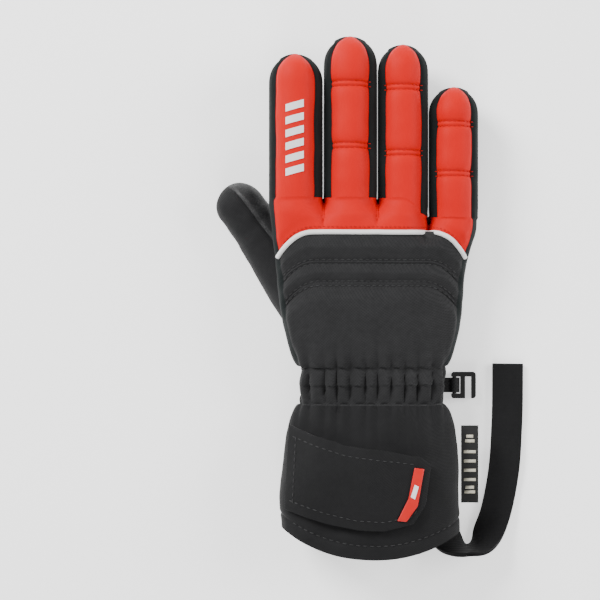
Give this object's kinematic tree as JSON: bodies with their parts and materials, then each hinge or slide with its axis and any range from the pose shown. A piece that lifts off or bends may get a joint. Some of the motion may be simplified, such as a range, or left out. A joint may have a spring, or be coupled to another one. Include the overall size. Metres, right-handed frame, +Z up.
{
  "type": "ski glove",
  "caption": "Right-hand padded ski glove lying palm down: red and black back, leather palm, gathered wrist, wide cuff with closure flap, hook and elastic wrist leash.",
  "frame": {"origin": "on the floor below the middle of the whole glove's box", "axes": "+Y towards the fingertips, +Z up from the floor through the back of the hand, thumb towards -X"},
  "size_m": [0.1542, 0.2614, 0.045],
  "materials": {
    "red_fabric": "matte",
    "black_weave": "matte",
    "thumb_fabric": "matte",
    "gusset_fabric": "matte",
    "cuff_fabric": "matte",
    "strap_fabric": "matte",
    "lining": "matte",
    "loop_pile": "matte",
    "black_leather": "satin",
    "white_piping": "satin",
    "red_tab": "satin",
    "black_plastic": "gloss",
    "webbing": "matte",
    "elastic_tape": "matte",
    "woven_label": "matte"
  },
  "bodies": {
    "hand": {"red_yoke": "red_fabric", "white_piping": "white_piping", "woven_back": "black_weave", "palm_leather": "black_leather", "palm_heel": "black_weave", "hand_side_gussets": "gusset_fabric", "thumb_base_panel": "black_leather", "wrist_gather": "black_weave", "hook_webbing": "webbing"},
    "index_base": {"index_base_back": "red_fabric", "index_base_gussets": "gusset_fabric", "index_base_leather": "black_leather"},
    "index_middle": {"index_middle_back": "red_fabric", "index_middle_gussets": "gusset_fabric", "index_middle_leather": "black_leather"},
    "index_tip": {"index_tip_back": "red_fabric", "index_tip_gussets": "gusset_fabric", "index_tip_leather": "black_leather"},
    "middle_base": {"middle_base_back": "red_fabric", "middle_base_gussets": "gusset_fabric", "middle_base_leather": "black_leather"},
    "middle_middle": {"middle_middle_back": "red_fabric", "middle_middle_gussets": "gusset_fabric", "middle_middle_leather": "black_leather"},
    "middle_tip": {"middle_tip_back": "red_fabric", "middle_tip_gussets": "gusset_fabric", "middle_tip_leather": "black_leather"},
    "ring_base": {"ring_base_back": "red_fabric", "ring_base_gussets": "gusset_fabric", "ring_base_leather": "black_leather"},
    "ring_middle": {"ring_middle_back": "red_fabric", "ring_middle_gussets": "gusset_fabric", "ring_middle_leather": "black_leather"},
    "ring_tip": {"ring_tip_back": "red_fabric", "ring_tip_gussets": "gusset_fabric", "ring_tip_leather": "black_leather"},
    "little_base": {"little_base_back": "red_fabric", "little_base_gussets": "gusset_fabric", "little_base_leather": "black_leather"},
    "little_middle": {"little_middle_back": "red_fabric", "little_middle_gussets": "gusset_fabric", "little_middle_leather": "black_leather"},
    "little_tip": {"little_tip_back": "red_fabric", "little_tip_gussets": "gusset_fabric", "little_tip_leather": "black_leather"},
    "thumb_middle": {"thumb_middle_fabric": "thumb_fabric", "thumb_middle_leather": "black_leather"},
    "thumb_tip": {"thumb_tip_fabric": "thumb_fabric", "thumb_tip_leather": "black_leather"},
    "cuff": {"cuff_back": "cuff_fabric", "cuff_palm": "cuff_fabric", "cuff_hem_binding": "cuff_fabric", "cuff_lining": "lining", "cuff_loop_patch": "loop_pile"},
    "flap": {"closure_flap": "strap_fabric", "flap_pull_tab": "red_tab"},
    "hook": {"glove_hook": "black_plastic"},
    "label": {"side_label": "woven_label"},
    "leash": {"wrist_leash": "elastic_tape"}
  },
  "joints": [
    {"name": "index_base_flex", "type": "hinge", "parent": "hand", "child": "index_base", "pos_m": [-0.03739, 0.0566, 0.02395], "axis": [-1, 0, 0], "range_deg": [-6, 50], "stiffness_Nm_per_rad": 0.25},
    {"name": "index_middle_flex", "type": "hinge", "parent": "index_base", "child": "index_middle", "pos_m": [-0.03739, 0.0751, 0.02395], "axis": [-1, 0, 0], "range_deg": [0, 60], "stiffness_Nm_per_rad": 0.15},
    {"name": "index_tip_flex", "type": "hinge", "parent": "index_middle", "child": "index_tip", "pos_m": [-0.03739, 0.0991, 0.02395], "axis": [-1, 0, 0], "range_deg": [0, 36]},
    {"name": "middle_base_flex", "type": "hinge", "parent": "hand", "child": "middle_base", "pos_m": [-0.01029, 0.0566, 0.02105], "axis": [-1, 0, 0], "range_deg": [-6, 50], "stiffness_Nm_per_rad": 0.25},
    {"name": "middle_middle_flex", "type": "hinge", "parent": "middle_base", "child": "middle_middle", "pos_m": [-0.01029, 0.0763, 0.02105], "axis": [-1, 0, 0], "range_deg": [0, 60], "stiffness_Nm_per_rad": 0.15},
    {"name": "middle_tip_flex", "type": "hinge", "parent": "middle_middle", "child": "middle_tip", "pos_m": [-0.01029, 0.1068, 0.02105], "axis": [-1, 0, 0], "range_deg": [0, 36]},
    {"name": "ring_base_flex", "type": "hinge", "parent": "hand", "child": "ring_base", "pos_m": [0.01601, 0.0566, 0.01824], "axis": [-1, 0, 0], "range_deg": [-6, 50], "stiffness_Nm_per_rad": 0.25},
    {"name": "ring_middle_flex", "type": "hinge", "parent": "ring_base", "child": "ring_middle", "pos_m": [0.01601, 0.073, 0.01824], "axis": [-1, 0, 0], "range_deg": [0, 60], "stiffness_Nm_per_rad": 0.15},
    {"name": "ring_tip_flex", "type": "hinge", "parent": "ring_middle", "child": "ring_tip", "pos_m": [0.01601, 0.1055, 0.01824], "axis": [-1, 0, 0], "range_deg": [0, 36]},
    {"name": "little_base_flex", "type": "hinge", "parent": "hand", "child": "little_base", "pos_m": [0.04141, 0.0471, 0.01552], "axis": [-1, 0, 0], "range_deg": [-6, 50], "stiffness_Nm_per_rad": 0.25},
    {"name": "little_middle_flex", "type": "hinge", "parent": "little_base", "child": "little_middle", "pos_m": [0.04141, 0.0629, 0.01552], "axis": [-1, 0, 0], "range_deg": [0, 60], "stiffness_Nm_per_rad": 0.15},
    {"name": "little_tip_flex", "type": "hinge", "parent": "little_middle", "child": "little_tip", "pos_m": [0.04141, 0.0876, 0.01552], "axis": [-1, 0, 0], "range_deg": [0, 36]},
    {"name": "thumb_spread", "type": "hinge", "parent": "hand", "child": "thumb_middle", "pos_m": [-0.04661, 0.02076, 0.0105], "axis": [0, 0, 1], "range_deg": [0, 30], "stiffness_Nm_per_rad": 0.25},
    {"name": "thumb_tip_flex", "type": "hinge", "parent": "thumb_middle", "child": "thumb_tip", "pos_m": [-0.05967, 0.03846, 0.0105], "axis": [-0.8048, -0.5935, 0], "range_deg": [0, 45], "stiffness_Nm_per_rad": 0.12},
    {"name": "wrist_flex", "type": "hinge", "parent": "hand", "child": "cuff", "pos_m": [-0.00049, -0.0424, 0.017], "axis": [1, 0, 0], "range_deg": [-30, 30], "stiffness_Nm_per_rad": 0.6, "deforming": ["wrist_gather"]},
    {"name": "flap_open", "type": "hinge", "parent": "cuff", "child": "flap", "pos_m": [-0.04429, -0.0829, 0.0313], "axis": [-0.0493, -0.9988, 0], "range_deg": [0, 120]},
    {"name": "hook_swing", "type": "hinge", "parent": "hand", "child": "hook", "pos_m": [0.04251, -0.0433, 0.0028], "axis": [0, -1, 0], "range_deg": [-60, 90]},
    {"name": "label_bend", "type": "hinge", "parent": "cuff", "child": "label", "pos_m": [0.04521, -0.08225, 0.017], "axis": [0, -1, 0], "range_deg": [-60, 60], "stiffness_Nm_per_rad": 0.002},
    {"name": "leash_swing", "type": "hinge", "parent": "cuff", "child": "leash", "pos_m": [0.03801, -0.1189, 0.0015], "axis": [0, 0, -1], "range_deg": [0, 38]}
  ],
  "couplings": [
    {"joint": "index_tip_flex", "follows": "index_middle_flex", "ratio": 0.6},
    {"joint": "middle_tip_flex", "follows": "middle_middle_flex", "ratio": 0.6},
    {"joint": "ring_tip_flex", "follows": "ring_middle_flex", "ratio": 0.6},
    {"joint": "little_tip_flex", "follows": "little_middle_flex", "ratio": 0.6}
  ]
}
